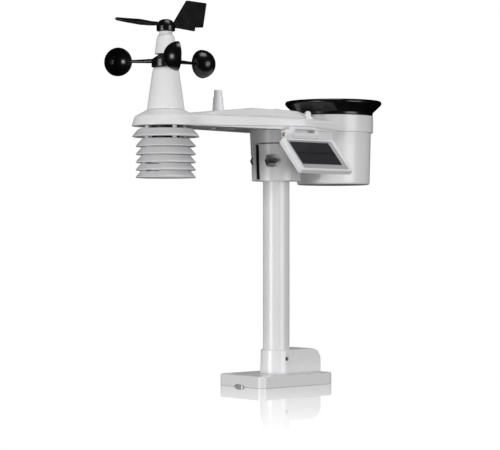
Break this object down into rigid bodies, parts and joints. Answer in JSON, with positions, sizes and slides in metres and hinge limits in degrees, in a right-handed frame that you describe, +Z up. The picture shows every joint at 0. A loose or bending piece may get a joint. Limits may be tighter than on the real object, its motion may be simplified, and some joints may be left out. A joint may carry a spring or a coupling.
{
  "type": "home weather station",
  "caption": "Outdoor weather sensor on a short pole: spinning cups and vane over a louvred shield, a clamped arm, a tilting solar panel and a funnel rain gauge.",
  "frame": {"origin": "underside of the mounting base, on the pole's axis", "axes": "+Z up along the pole; +X along the arm towards the rain gauge; -Y towards the solar panel"},
  "size_m": [0.4396, 0.1693, 0.4933],
  "materials": {
    "white_shell": "fine satin moulded plastic",
    "black_gloss": "polished moulded plastic",
    "black_matte": "satin",
    "pad_rubber": "matte",
    "steel": "zinc plated",
    "brass": "slightly dull",
    "board": "lacquered circuit board",
    "battery_wrap": "shrink wrap",
    "led_red": "clear red lens",
    "sensor_dome": "milky diffuser",
    "level_glass": "liquid-filled vial",
    "solar_cell": "dark cell under clear resin"
  },
  "bodies": {
    "stand": {"mounting_base": "white_shell", "socket_screw": "steel", "mast_pole": "white_shell"},
    "head": {"arm_top_shell": "white_shell", "arm_lower_shell": "white_shell", "clamp_pad_rear": "pad_rubber", "clamp_gasket_left": "pad_rubber", "clamp_gasket_right": "pad_rubber", "clamp_bolt_left": "brass", "clamp_bolt_right": "brass", "main_board": "board", "battery_1": "battery_wrap", "battery_2": "battery_wrap", "battery_3": "battery_wrap", "status_led": "led_red", "antenna": "white_shell", "light_sensor": "sensor_dome", "bubble_level": "level_glass", "wind_tower": "white_shell", "wind_spindle": "steel", "tower_cap": "white_shell", "vane_bearing": "brass", "shield_plate_1": "white_shell", "shield_plate_2": "white_shell", "shield_plate_3": "white_shell", "shield_plate_4": "white_shell", "shield_plate_5": "white_shell", "shield_plate_6": "white_shell", "shield_rod_1": "steel", "shield_rod_2": "steel", "shield_rod_3": "steel", "shield_rod_4": "steel", "climate_probe": "black_matte", "rain_drum": "white_shell", "bucket_cradle": "white_shell", "bucket_axle": "steel", "reed_board": "board", "solar_bracket": "white_shell", "hinge_screw_left": "brass", "hinge_pin_right": "steel"},
    "jaw": {"clamp_jaw": "white_shell", "clamp_pad_front": "pad_rubber", "clamp_nut_left": "steel", "clamp_nut_right": "steel"},
    "door": {"battery_door": "white_shell"},
    "button": {"reset_button": "white_shell"},
    "cups": {"cup_hub": "black_gloss", "rotor_bearing": "brass", "wind_cup_1": "black_gloss", "wind_cup_2": "black_gloss", "wind_cup_3": "black_gloss"},
    "vane": {"wind_vane": "black_gloss", "vane_shaft": "steel"},
    "funnel": {"rain_funnel": "black_gloss"},
    "filter": {"debris_filter": "black_matte"},
    "bucket": {"tipping_bucket": "black_matte"},
    "panel": {"solar_frame": "white_shell", "solar_cells": "solar_cell", "solar_back_cover": "white_shell"}
  },
  "joints": [
    {"name": "head_swivel", "type": "hinge", "parent": "stand", "child": "head", "pos_m": [0, 0, 0.3], "axis": [0, 0, 1], "range_deg": [-180, 180]},
    {"name": "jaw_slide", "type": "slide", "parent": "head", "child": "jaw", "axis": [0, -1, 0], "range_m": [0, 0.01]},
    {"name": "door_release", "type": "slide", "parent": "head", "child": "door", "axis": [0, 0, -1], "range_m": [0, 0.05]},
    {"name": "reset_press", "type": "slide", "parent": "head", "child": "button", "axis": [0, 0, 1], "range_m": [0, 0.0008], "stiffness_N_per_m": 300},
    {"name": "cup_spin", "type": "hinge", "parent": "head", "child": "cups", "pos_m": [-0.1883, 0, 0.415], "axis": [0, 0, 1], "continuous": true},
    {"name": "vane_turn", "type": "hinge", "parent": "head", "child": "vane", "pos_m": [-0.1883, 0, 0.46], "axis": [0, 0, 1], "continuous": true},
    {"name": "funnel_lift", "type": "slide", "parent": "head", "child": "funnel", "axis": [0, 0, 1], "range_m": [0, 0.06]},
    {"name": "filter_lift", "type": "slide", "parent": "funnel", "child": "filter", "axis": [0, 0, 1], "range_m": [0, 0.05]},
    {"name": "bucket_tip", "type": "hinge", "parent": "head", "child": "bucket", "pos_m": [0.1056, 0, 0.3], "axis": [0, 1, 0], "range_deg": [-24, 0]},
    {"name": "panel_tilt", "type": "hinge", "parent": "head", "child": "panel", "pos_m": [0, -0.058, 0.326], "axis": [1, 0, 0], "range_deg": [-48, 12]}
  ]
}
